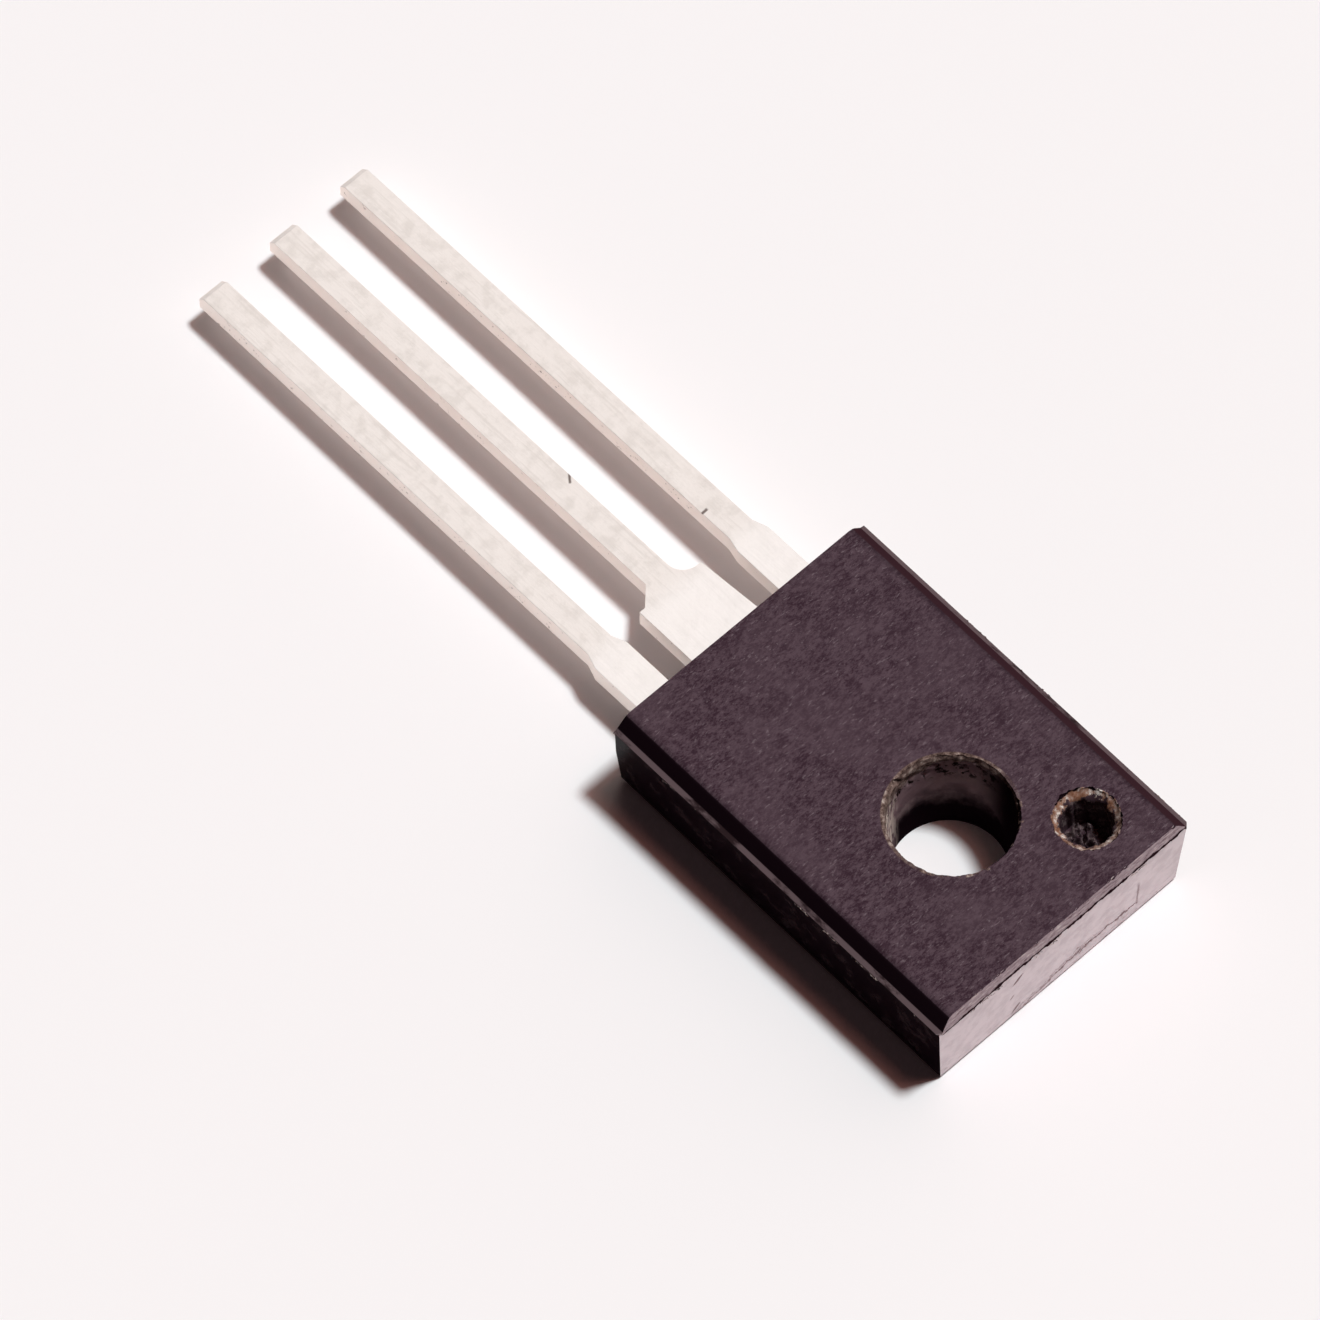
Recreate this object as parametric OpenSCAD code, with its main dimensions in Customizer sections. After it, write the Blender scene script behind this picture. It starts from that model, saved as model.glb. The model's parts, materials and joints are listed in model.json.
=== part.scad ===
// Three-lead power transistor in a flat moulded case with a mounting hole.
// Origin: axis of the mounting hole, on the back face that sits on a heat sink.
// +Z points out of the plain front face, +Y towards the hole end, and the leads run along -Y.

/* [Case] */
// Width across the leads, measured at the moulded lip
case_w = 8.1; // [7.6:0.1:8.6]
// Length from the lead end to the hole end
case_l = 11.05; // [10.6:0.05:12]
// Thickness from the back face to the front face
case_t = 2.95; // [2.8:0.05:3.4]
// Distance from the mounting hole's axis to the hole end
hole_to_end = 3.85; // [3.5:0.05:4.2]
// How far the long walls lean in from the lip to the back
side_draft = 0.18; // [0.05:0.01:0.25]
// How far the end walls lean in from their widest line to the back
end_draft = 0.08; // [0.02:0.01:0.15]
// Small bevel round the back edges
back_edge = 0.1; // [0.04:0.01:0.2]

/* [Front plate] */
// Height of the front plate, from the mould's parting line to the front face
plate_h = 0.42; // [0.3:0.01:0.6]
// Width of the bevel along both long edges
bevel_w = 0.27; // [0.1:0.01:0.4]
// Height of that bevel
bevel_h = 0.34; // [0.1:0.01:0.4]
// How far the front plate overhangs the walls below the parting line
lip_overhang = 0.05; // [0.02:0.01:0.1]
// How far the front plate leans in at the two ends
plate_end_draft = 0.09; // [0.02:0.01:0.15]

/* [Mounting hole] */
// Diameter of the plastic bore
hole_d = 3.1; // [2.8:0.05:3.3]
// Worn bevel round the bore at the front
hole_edge = 0.06; // [0.02:0.01:0.15]
// Thickness of the plastic sleeve between the bore and the metal
sleeve_wall = 0.5; // [0.3:0.05:0.7]

/* [Locating pin mark] */
// Diameter of the blind hole that the mould's pin leaves
pin_d = 1.66; // [1.4:0.02:1.8]
// Offset of the pin mark from the centre line, towards the emitter side
pin_offset = 2.22; // [2.1:0.01:2.35]
// Distance from the pin mark's axis to the hole end
pin_to_end = 1.63; // [1.5:0.01:1.8]
// Plastic left between the pin mark and the metal tab
pin_skin = 0.2; // [0.1:0.05:0.5]

/* [Leads] */
// Spacing of the leads
pitch = 2.29; // [2.2:0.01:2.4]
// Width of a lead
lead_w = 0.75; // [0.6:0.01:0.9]
// Thickness of the lead strip
lead_t = 0.55; // [0.4:0.01:0.6]
// Length of the leads outside the case
lead_l = 16.0; // [12:0.1:18]
// Height of the leads' underside above the back face
lead_z = 0.85; // [0.7:0.01:1.0]
// How far the tips hang below the line of the leads
tip_droop = 0.25; // [0.05:0.01:0.5]
// Length of the sheared bevel at each tip
tip_bevel = 0.18; // [0.05:0.01:0.3]

/* [Shoulders] */
// Length of the wide shoulders outside the case
shoulder_l = 2.35; // [1.5:0.05:3]
// Width of the collector lead's shoulder
collector_shoulder_w = 2.0; // [1.8:0.05:2.2]
// How much the shoulder widens towards the case, on the side of the fillet
collector_flare = 0.16; // [0:0.02:0.2]
// How far that widening locks into the moulding
flare_lock = 0.25; // [0.1:0.05:0.3]
// Fillet on the emitter side of that shoulder
shoulder_fillet = 0.5; // [0.2:0.05:0.6]
// Chamfer on the base side of that shoulder
shoulder_chamfer = 0.45; // [0.2:0.05:0.6]
// Widening of the base lead on its outer and inner edge
base_flare = [0.14, 0.16];
// Widening of the emitter lead on its outer and inner edge
emitter_flare = [0.14, 0.1];
// Length over which an outer lead widens
flare_l = 0.4; // [0.2:0.05:1.4]

/* [Metal tab] */
// Width of the tab inside the moulding
tab_w = 6.3; // [6.2:0.05:6.5]
// Plastic between the tab and the hole end
tab_end_wall = 0.8; // [0.6:0.05:1]
// Distance from the hole's axis to the tab's lead-side edge
tab_to_lead_edge = 4.7; // [4.6:0.05:4.8]
// Width of the ledge that locks the tab in the moulding
ledge_w = 0.35; // [0.2:0.05:0.5]
// Height of the exposed pad below that ledge
ledge_h = 0.5; // [0.3:0.05:0.7]
// Radius of the side notches that hold the moulding
notch_r = 0.45; // [0.3:0.05:0.6]
// Distance from the hole's axis to the side notches, towards the leads
notch_y = 2.9; // [2.6:0.05:3.2]
// Width of the groove that stops moisture in front of the chip
groove_w = 0.3; // [0.2:0.02:0.34]
// Depth of that groove
groove_depth = 0.15; // [0.05:0.01:0.25]

/* [Bonding posts] */
// Width of the pad on the inner end of an outer lead
post_w = 1.8; // [1.5:0.05:1.9]
// Length of that pad
post_l = 1.2; // [0.9:0.05:1.3]
// Gap between the tab and the pads
post_gap = 0.4; // [0.3:0.05:0.5]
// Diameter of the hole that anchors each outer lead
anchor_d = 0.5; // [0.3:0.05:0.6]

/* [Chip] */
// Side of the square silicon chip
die_w = 1.6; // [1.4:0.05:1.7]
// Thickness of the chip
die_t = 0.25; // [0.15:0.01:0.35]
// Thickness of the solder under the chip
solder_t = 0.05; // [0.03:0.01:0.1]
// How far the solder spreads past the chip
solder_spread = 0.08; // [0.02:0.01:0.1]
// Distance from the hole's axis to the chip's centre
die_y = 3.55; // [3.5:0.05:3.6]
// Spacing of the two contact pads on the chip
die_pad_spacing = 0.9; // [0.7:0.05:1]
// Diameter of the aluminium bond wires
wire_d = 0.2; // [0.12:0.01:0.25]
// Bend radius of a bond wire next to its foot
wire_bend = 0.5; // [0.3:0.05:0.6]
// Mean slope at which a wire leaves its two feet, in degrees
wire_rise = 40; // [30:1:45]
// Height of a wire's centre line over its pad where it leaves the foot
wire_lift = 0.14; // [0.12:0.01:0.16]
// Length, width and thickness of the stitched foot at each end of a wire
foot_l = 0.42; // [0.3:0.02:0.5]
foot_w = 0.34; // [0.28:0.01:0.4]
foot_t = 0.1; // [0.06:0.01:0.11]

/* [Hidden] */
$fn = 96;

// Case levels
lead_end = case_l - hole_to_end;
parting_z = case_t - plate_h;
lip_h = plate_h - bevel_h;
lip_w = 0.12;
half_w = case_w / 2;

// Leads
lead_top = lead_z + lead_t;
tip_y = -lead_end - lead_l;
shoulder_y = -lead_end - shoulder_l;
inside = 2;

// Tab
tab_t = lead_top;
tab_end_y = hole_to_end - tab_end_wall;
metal_hole_d = hole_d + 2 * sleeve_wall;
groove_y = -(metal_hole_d / 2 + (die_y - die_w / 2)) / 2;

// Posts, chip and wires
post_y = -tab_to_lead_edge - post_gap;
die_z = tab_t + solder_t;
die_top = die_z + die_t;
die_pad_y = -die_y;
wire_swell = 0.01;
post_pad_y = post_y - post_l / 2;

// Right half of the section across the case, from the back edge up to the front edge
case_right = [
    [half_w - lip_overhang - side_draft - back_edge, 0],
    [half_w - lip_overhang - side_draft, back_edge],
    [half_w - lip_overhang, parting_z],
    [half_w, parting_z],
    [half_w, parting_z + lip_h / 2],
    [half_w - lip_w, parting_z + lip_h],
    [half_w - lip_w - bevel_w, case_t]
];

// Section across the case, the same all along its length
module case_section() {
    last = len(case_right) - 1;
    case_left = [for (i = [last:-1:0]) [-case_right[i][0], case_right[i][1]]];
    polygon(concat(case_right, case_left));
}

// Lengthwise section of the case, as (y, z): the lead end parts at the leads' top
module case_length_section() {
    polygon([
        [hole_to_end - lip_overhang - end_draft - back_edge, 0],
        [hole_to_end - lip_overhang - end_draft, back_edge],
        [hole_to_end - lip_overhang, parting_z],
        [hole_to_end, parting_z],
        [hole_to_end - plate_end_draft, case_t],
        [-lead_end + end_draft, case_t],
        [-lead_end, lead_top],
        [-lead_end + end_draft, back_edge],
        [-lead_end + end_draft + back_edge, 0]
    ]);
}

// Turns a (y, z) outline into a plate of the given width, centred on x = 0
module across(width) {
    rotate([90, 0, 90]) translate([0, 0, -width / 2]) linear_extrude(height = width) children();
}

module case_block() {
    intersection() {
        rotate([90, 0, 0]) translate([0, 0, -2 * case_l]) linear_extrude(height = 4 * case_l)
            case_section();
        across(2 * case_w) case_length_section();
    }
}

module mounting_bore() {
    translate([0, 0, -1]) cylinder(d = hole_d, h = case_t + 2);
    translate([0, 0, case_t - hole_edge])
        cylinder(d1 = hole_d, d2 = hole_d + 4 * hole_edge, h = 2 * hole_edge);
}

module pin_mark() {
    pin_floor = tab_t + pin_skin;
    translate([-pin_offset, hole_to_end - pin_to_end, pin_floor])
        cylinder(d = pin_d, h = case_t);
}

// The strip that all the leads are stamped from, as (y, z), drooping outside the case
module lead_strip(start_y) {
    polygon([
        [start_y, lead_z],
        [-lead_end, lead_z],
        [tip_y, lead_z - tip_droop],
        [tip_y, lead_top - tip_droop - tip_bevel],
        [tip_y + tip_bevel, lead_top - tip_droop],
        [-lead_end, lead_top],
        [start_y, lead_top]
    ]);
}

// A lead: its plan outline cut through the drooping strip
module stamped_lead(start_y) {
    intersection() {
        linear_extrude(height = 2 * case_t, center = true) children();
        across(2 * case_w) lead_strip(start_y);
    }
}

module collector_plan() {
    blade = lead_w / 2;
    shoulder = collector_shoulder_w / 2;
    translate([-blade, tip_y]) square([lead_w, lead_l]);
    translate([-shoulder, shoulder_y])
        square([collector_shoulder_w, -shoulder_y - tab_to_lead_edge + ledge_w]);
    polygon([
        [-shoulder, shoulder_y],
        [-shoulder - collector_flare, -lead_end],
        [-shoulder - collector_flare, -lead_end + flare_lock],
        [-shoulder, -lead_end + flare_lock + collector_flare],
        [0, -lead_end],
        [0, shoulder_y]
    ]);
    polygon([
        [blade, shoulder_y - shoulder_chamfer],
        [blade + shoulder_chamfer, shoulder_y],
        [0, shoulder_y],
        [0, shoulder_y - shoulder_chamfer]
    ]);
    difference() {
        translate([-blade - shoulder_fillet, shoulder_y - shoulder_fillet])
            square([shoulder_fillet + blade, shoulder_fillet]);
        translate([-blade - shoulder_fillet, shoulder_y - shoulder_fillet])
            circle(r = shoulder_fillet);
    }
}

// An outer lead drawn at +x, widening outwards by flare[0] and inwards by flare[1]
module outer_plan(flare) {
    blade = lead_w / 2;
    out_x = pitch + blade + flare[0];
    in_x = pitch - blade - flare[1];
    translate([pitch - blade, tip_y]) square([lead_w, lead_l]);
    polygon([
        [pitch + blade, shoulder_y],
        [out_x, shoulder_y + flare_l],
        [out_x, post_y - post_l / 2],
        [in_x, post_y - post_l / 2],
        [in_x, shoulder_y + flare_l],
        [pitch - blade, shoulder_y]
    ]);
    translate([pitch - post_w / 2, post_y - post_l]) square([post_w, post_l]);
}

module outer_lead(flare) {
    color("gainsboro") difference() {
        stamped_lead(post_y) outer_plan(flare);
        translate([pitch, (post_y - post_l - lead_end) / 2, -1])
            cylinder(d = anchor_d, h = case_t + 2);
    }
}

module tab_plate() {
    narrow = tab_w - 2 * ledge_w;
    translate([-narrow / 2, -tab_to_lead_edge + ledge_w, 0])
        cube([narrow, tab_end_y - ledge_w + tab_to_lead_edge - ledge_w, ledge_h]);
    translate([-tab_w / 2, -tab_to_lead_edge, ledge_h])
        cube([tab_w, tab_end_y + tab_to_lead_edge, tab_t - ledge_h]);
}

module collector_tab() {
    color("silver") difference() {
        union() {
            tab_plate();
            stamped_lead(-tab_to_lead_edge + ledge_w) collector_plan();
        }
        translate([0, 0, -1]) cylinder(d = metal_hole_d, h = case_t + 2);
        for (side = [-1, 1]) translate([side * tab_w / 2, -notch_y, -1])
            cylinder(r = notch_r, h = case_t + 2);
        across(2 * case_w) polygon([
            [groove_y - groove_w / 2, tab_t],
            [groove_y, tab_t - groove_depth],
            [groove_y + groove_w / 2, tab_t],
            [groove_y, tab_t + groove_depth]
        ]);
    }
}

module base_lead() {
    outer_lead(base_flare);
}

module emitter_lead() {
    mirror([1, 0, 0]) outer_lead(emitter_flare);
}

module die_solder() {
    width = die_w + 2 * solder_spread;
    color("lightgrey") translate([-width / 2, -die_y - width / 2, tab_t])
        cube([width, width, solder_t]);
}

module silicon_die() {
    color("slategray") translate([-die_w / 2, -die_y - die_w / 2, die_z])
        cube([die_w, die_w, die_t]);
}

// An arc of wire in the x-z plane, round a centre, between two angles counted from +x to +z
module wire_arc(centre, radius, from, to) {
    translate([centre[0], 0, centre[1]]) rotate([90, 0, 0]) rotate([0, 0, from])
        rotate_extrude(angle = to - from) translate([radius, 0]) circle(d = wire_d);
}

// A swelling a hair wider than the wire, through which two arcs fuse
module wire_joint(centre, radius, angle) {
    translate([centre[0] + radius * cos(angle), 0, centre[1] + radius * sin(angle)])
        sphere(d = wire_d + wire_swell);
}

// The end of a wire on a pad at height z: a stitched foot and the wire sunk into it
module wire_foot(z) {
    translate([-foot_l / 2, 0, z + foot_t / 2]) cube([foot_l, foot_w, foot_t], center = true);
    translate([-foot_l / 2, 0, z + wire_lift]) rotate([0, 90, 0])
        cylinder(d = wire_d, h = foot_l / 2);
}

// Aluminium wire drawn at +x: out of one foot, over in three tangent arcs, into the other
module bond_wire() {
    start = [die_pad_spacing / 2, die_pad_y];
    finish = [pitch, post_pad_y];
    way = finish - start;
    run = norm(way) - foot_l;
    drop = die_top - lead_top;
    lean = atan2(drop, run);
    rise = wire_rise - lean;
    fall = wire_rise + lean;
    reach = run / (2 * sin(wire_rise) * cos(lean));
    bend_z = die_top + wire_lift + wire_bend;
    top = [reach * sin(rise), bend_z - reach * cos(rise)];
    color("whitesmoke") translate([start[0], start[1], 0]) rotate([0, 0, atan2(way[1], way[0])]) {
        translate([foot_l / 2, 0, 0]) {
            wire_foot(die_top);
            wire_arc([0, bend_z], wire_bend, -90, rise - 90);
            wire_arc(top, reach - wire_bend, 90 - fall, 90 + rise);
            for (angle = [90 - fall, 90 + rise]) wire_joint(top, reach - wire_bend, angle);
            wire_arc([run, bend_z - drop], wire_bend, 270 - fall, 270);
            translate([run, 0, 0]) mirror([1, 0, 0]) wire_foot(lead_top);
        }
    }
}

module base_wire() {
    bond_wire();
}

module emitter_wire() {
    mirror([1, 0, 0]) bond_wire();
}

// The moulding fills all the space round the metal, the chip and the wires
module epoxy_case() {
    color([0.2, 0.16, 0.19]) difference() {
        case_block();
        mounting_bore();
        pin_mark();
        collector_tab();
        base_lead();
        emitter_lead();
        die_solder();
        silicon_die();
        base_wire();
        emitter_wire();
    }
}

epoxy_case();
collector_tab();
base_lead();
emitter_lead();
silicon_die();
die_solder();
base_wire();
emitter_wire();
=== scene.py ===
"""Looks of a three-lead power transistor in a moulded case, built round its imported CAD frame."""

from __future__ import annotations

import json
import logging
import math
from dataclasses import dataclass, field
from enum import Enum
from typing import Any, Iterable, Sequence, Union

import bmesh
import bpy
import numpy as np
from mathutils import Matrix, Vector, noise

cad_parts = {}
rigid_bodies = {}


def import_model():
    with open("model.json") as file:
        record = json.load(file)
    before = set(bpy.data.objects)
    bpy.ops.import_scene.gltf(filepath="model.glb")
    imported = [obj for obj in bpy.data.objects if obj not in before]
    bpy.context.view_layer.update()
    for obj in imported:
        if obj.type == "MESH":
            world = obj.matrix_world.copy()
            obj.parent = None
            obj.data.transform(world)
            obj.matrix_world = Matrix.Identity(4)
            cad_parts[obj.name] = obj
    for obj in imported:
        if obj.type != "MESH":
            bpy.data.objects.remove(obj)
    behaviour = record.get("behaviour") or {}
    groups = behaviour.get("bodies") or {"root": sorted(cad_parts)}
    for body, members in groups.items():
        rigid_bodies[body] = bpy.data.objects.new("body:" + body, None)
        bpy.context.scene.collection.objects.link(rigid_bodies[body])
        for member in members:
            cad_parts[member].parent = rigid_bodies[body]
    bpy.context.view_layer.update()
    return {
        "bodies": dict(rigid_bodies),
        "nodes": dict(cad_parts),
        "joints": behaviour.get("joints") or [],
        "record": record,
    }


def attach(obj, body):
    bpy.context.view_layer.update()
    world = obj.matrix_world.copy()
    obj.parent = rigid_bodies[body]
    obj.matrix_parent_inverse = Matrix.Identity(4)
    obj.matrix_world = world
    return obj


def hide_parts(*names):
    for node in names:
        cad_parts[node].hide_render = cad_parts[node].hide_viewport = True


MM = 0.001
LOG = logging.getLogger("transistor")

Colour = tuple[float, float, float]
Point = tuple[float, float, float]
Outline = tuple[tuple[float, float], ...]
Tones = tuple[tuple[float, Colour], ...]


class Side(Enum):
    """The two long sides of the case, by the sign of x."""

    BASE = 1.0
    EMITTER = -1.0


class Cut(Enum):
    """What a boolean cut leaves of a piece."""

    TAKE_OUT = "DIFFERENCE"
    KEEP_INSIDE = "INTERSECT"


# ---------------------------------------------------------------- node graphs


class Value:
    """A number socket that Python's own operators work on."""

    def __init__(self, graph: "Graph", socket: bpy.types.NodeSocket) -> None:
        """Wraps a socket.

        Args:
            graph: the graph that the socket's node is in.
            socket: an output socket that gives a number.
        """
        self.graph = graph
        self.socket = socket

    def __add__(self, other: "Number") -> "Value":
        """Returns self + other."""
        return self.graph.math("ADD", self, other)

    def __radd__(self, other: "Number") -> "Value":
        """Returns other + self."""
        return self.graph.math("ADD", other, self)

    def __sub__(self, other: "Number") -> "Value":
        """Returns self - other."""
        return self.graph.math("SUBTRACT", self, other)

    def __rsub__(self, other: "Number") -> "Value":
        """Returns other - self."""
        return self.graph.math("SUBTRACT", other, self)

    def __mul__(self, other: "Number") -> "Value":
        """Returns self * other."""
        return self.graph.math("MULTIPLY", self, other)

    def __rmul__(self, other: "Number") -> "Value":
        """Returns other * self."""
        return self.graph.math("MULTIPLY", other, self)

    def __truediv__(self, other: "Number") -> "Value":
        """Returns self / other."""
        return self.graph.math("DIVIDE", self, other)

    def __rtruediv__(self, other: "Number") -> "Value":
        """Returns other / self."""
        return self.graph.math("DIVIDE", other, self)

    def __pow__(self, other: "Number") -> "Value":
        """Returns self to the power of other."""
        return self.graph.math("POWER", self, other)

    def __abs__(self) -> "Value":
        """Returns the size of self without its sign."""
        return self.graph.math("ABSOLUTE", self)

    def most(self, other: "Number") -> "Value":
        """Returns the larger of self and other."""
        return self.graph.math("MAXIMUM", self, other)

    def above(self, edge: float, blur: float) -> "Value":
        """Returns a mask that rises smoothly from 0 to 1 over blur, centred on edge."""
        return self.graph.ramp(self, edge - blur / 2, edge + blur / 2)

    def below(self, edge: float, blur: float) -> "Value":
        """Returns a mask that falls smoothly from 1 to 0 over blur, centred on edge."""
        return self.graph.ramp(self, edge + blur / 2, edge - blur / 2)

    def near(self, centre: float, reach: float, blur: float) -> "Value":
        """Returns a mask that is 1 within reach of centre and falls to 0 over blur."""
        return abs(self - centre).below(reach, blur)


Number = Union[Value, float]
Feed = Union[Value, bpy.types.NodeSocket, float, Sequence[float]]


class Graph:
    """One node tree, and the only place that makes its nodes."""

    def __init__(self, tree: bpy.types.NodeTree) -> None:
        """Takes hold of a tree and empties it.

        Args:
            tree: the node tree to build in.
        """
        self.tree = tree
        self.tree.nodes.clear()

    def node(
        self,
        kind: str,
        settings: dict[str, Any] | None = None,
        inputs: dict[str, Feed] | None = None,
    ) -> bpy.types.Node:
        """Makes a node.

        Args:
            kind: the node's type, such as ShaderNodeMath.
            settings: its properties, which are set first; "stops" fills a colour ramp.
            inputs: values or links, by the sockets' identifiers or names.

        Returns:
            The new node.
        """
        made = self.tree.nodes.new(kind)
        for name, setting in (settings or {}).items():
            if name == "stops":
                self._fill_ramp(made.color_ramp, setting)
            else:
                setattr(made, name, setting)
        for name, value in (inputs or {}).items():
            self.feed(self.entry(made, name), value)
        return made

    @staticmethod
    def _fill_ramp(ramp: bpy.types.ColorRamp, stops: Tones) -> None:
        """Sets a colour ramp's stops.

        Args:
            ramp: the ramp.
            stops: a position and a colour for each.
        """
        while len(ramp.elements) < len(stops):
            ramp.elements.new(0.5)
        for element, (position, colour) in zip(ramp.elements, stops):
            element.position = position
            element.color = (*colour, 1.0)

    @staticmethod
    def entry(node: bpy.types.Node, name: str) -> bpy.types.NodeSocket:
        """Finds a node's input that is in use.

        Args:
            node: the node.
            name: the input's identifier, or else its name.

        Returns:
            The input.

        Raises:
            KeyError: the node has no such input.
        """
        for key in ("identifier", "name"):
            for socket in node.inputs:
                if getattr(socket, key) == name and socket.enabled:
                    return socket
        raise KeyError(f"{node.bl_idname} has no input {name}")

    @staticmethod
    def exit(node: bpy.types.Node) -> bpy.types.NodeSocket:
        """Returns a node's first output that is in use."""
        return next(socket for socket in node.outputs if socket.enabled)

    def feed(self, socket: bpy.types.NodeSocket, value: Feed) -> None:
        """Links a socket, or sets its value.

        Args:
            socket: the input.
            value: a number, a vector, a colour, or what to link from.
        """
        if isinstance(value, Value):
            self.tree.links.new(value.socket, socket)
        elif isinstance(value, bpy.types.NodeSocket):
            self.tree.links.new(value, socket)
        elif socket.type == "RGBA" and len(value) == 3:
            socket.default_value = (*value, 1.0)
        else:
            socket.default_value = value

    def math(self, operation: str, *values: Number) -> Value:
        """Adds a Math node.

        Args:
            operation: the node's operation.
            *values: what it works on, in order.

        Returns:
            The result.
        """
        inputs = dict(zip(("Value", "Value_001"), values))
        made = self.node("ShaderNodeMath", {"operation": operation}, inputs)
        return Value(self, made.outputs[0])

    def ramp(self, value: Value, low: float, high: float) -> Value:
        """Adds a smooth step.

        Args:
            value: what it follows.
            low: where it is 0.
            high: where it is 1.

        Returns:
            The step.
        """
        inputs = {"Value": value, "From Min": low, "From Max": high}
        made = self.node("ShaderNodeMapRange", {"interpolation_type": "SMOOTHSTEP"}, inputs)
        return Value(self, made.outputs[0])

    def parts(self, vector: bpy.types.NodeSocket) -> tuple[Value, Value, Value]:
        """Returns a vector's x, y and z."""
        made = self.node("ShaderNodeSeparateXYZ", None, {"Vector": vector})
        return tuple(Value(self, socket) for socket in made.outputs)

    def mix(self, first: Feed, second: Feed, share: Number) -> bpy.types.NodeSocket:
        """Returns a colour that goes from first to second as share goes from 0 to 1."""
        inputs = {"Factor_Float": share, "A_Color": first, "B_Color": second}
        return self.exit(self.node("ShaderNodeMix", {"data_type": "RGBA"}, inputs))

    def tone(self, value: Value, stops: Tones) -> bpy.types.NodeSocket:
        """Returns a colour read from a ramp at value."""
        return self.node("ShaderNodeValToRGB", {"stops": stops}, {"Fac": value}).outputs[0]


class Surface(Graph):
    """A material's graph, which knows the surface point in millimetres and how it faces."""

    def __init__(self, name: str) -> None:
        """Makes an empty node material.

        Args:
            name: the material's name.
        """
        self.material = bpy.data.materials.new(name)
        self.material.use_nodes = True
        super().__init__(self.material.node_tree)
        point = self.node("ShaderNodeTexCoord").outputs["Object"]
        to_mm = {"Vector": point, "Scale": 1 / MM}
        self.place = self.node("ShaderNodeVectorMath", {"operation": "SCALE"}, to_mm).outputs[0]
        self.x, self.y, self.z = self.parts(self.place)
        normal = self.node("ShaderNodeNewGeometry").outputs["Normal"]
        self.facing_x, self.facing_y, self.facing_z = self.parts(normal)

    def from_axis(self, centre: tuple[float, float]) -> Value:
        """Returns the distance from an upright axis at (x, y)."""
        away_x, away_y = self.x - centre[0], self.y - centre[1]
        return (away_x * away_x + away_y * away_y) ** 0.5

    def stretched(self, scale: Point, turn: Point = (0.0, 0.0, 0.0)) -> bpy.types.NodeSocket:
        """Returns the surface point turned and scaled, for grain that runs one way."""
        inputs = {"Vector": self.place, "Rotation": turn, "Scale": scale}
        return self.node("ShaderNodeMapping", None, inputs).outputs[0]

    def noise(
        self,
        scale: float,
        detail: float,
        rough: float,
        place: bpy.types.NodeSocket | None = None,
    ) -> Value:
        """Adds fractal noise about 0.5.

        Args:
            scale: blotches per millimetre.
            detail: number of finer layers.
            rough: how strong each finer layer is.
            place: where to sample it, which is the surface point if None.

        Returns:
            The noise value.
        """
        vector = self.place if place is None else place
        inputs = {"Vector": vector, "Scale": scale, "Detail": detail, "Roughness": rough}
        return Value(self, self.node("ShaderNodeTexNoise", None, inputs).outputs[0])

    def bump(self, height: Value, depth: float) -> bpy.types.NodeSocket:
        """Returns a normal for a relief from 0 to 1, where 1 stands depth millimetres high."""
        inputs = {"Strength": 1.0, "Distance": depth * MM, "Height": height}
        return self.node("ShaderNodeBump", None, inputs).outputs[0]

    def finish(self, inputs: dict[str, Feed]) -> bpy.types.Material:
        """Ends the material with a Principled BSDF.

        Args:
            inputs: what the shader's sockets get.

        Returns:
            The material.
        """
        shader = self.node("ShaderNodeBsdfPrincipled", None, inputs)
        self.node("ShaderNodeOutputMaterial", None, {"Surface": shader.outputs[0]})
        return self.material


# ------------------------------------------------------------------- finishes


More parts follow.
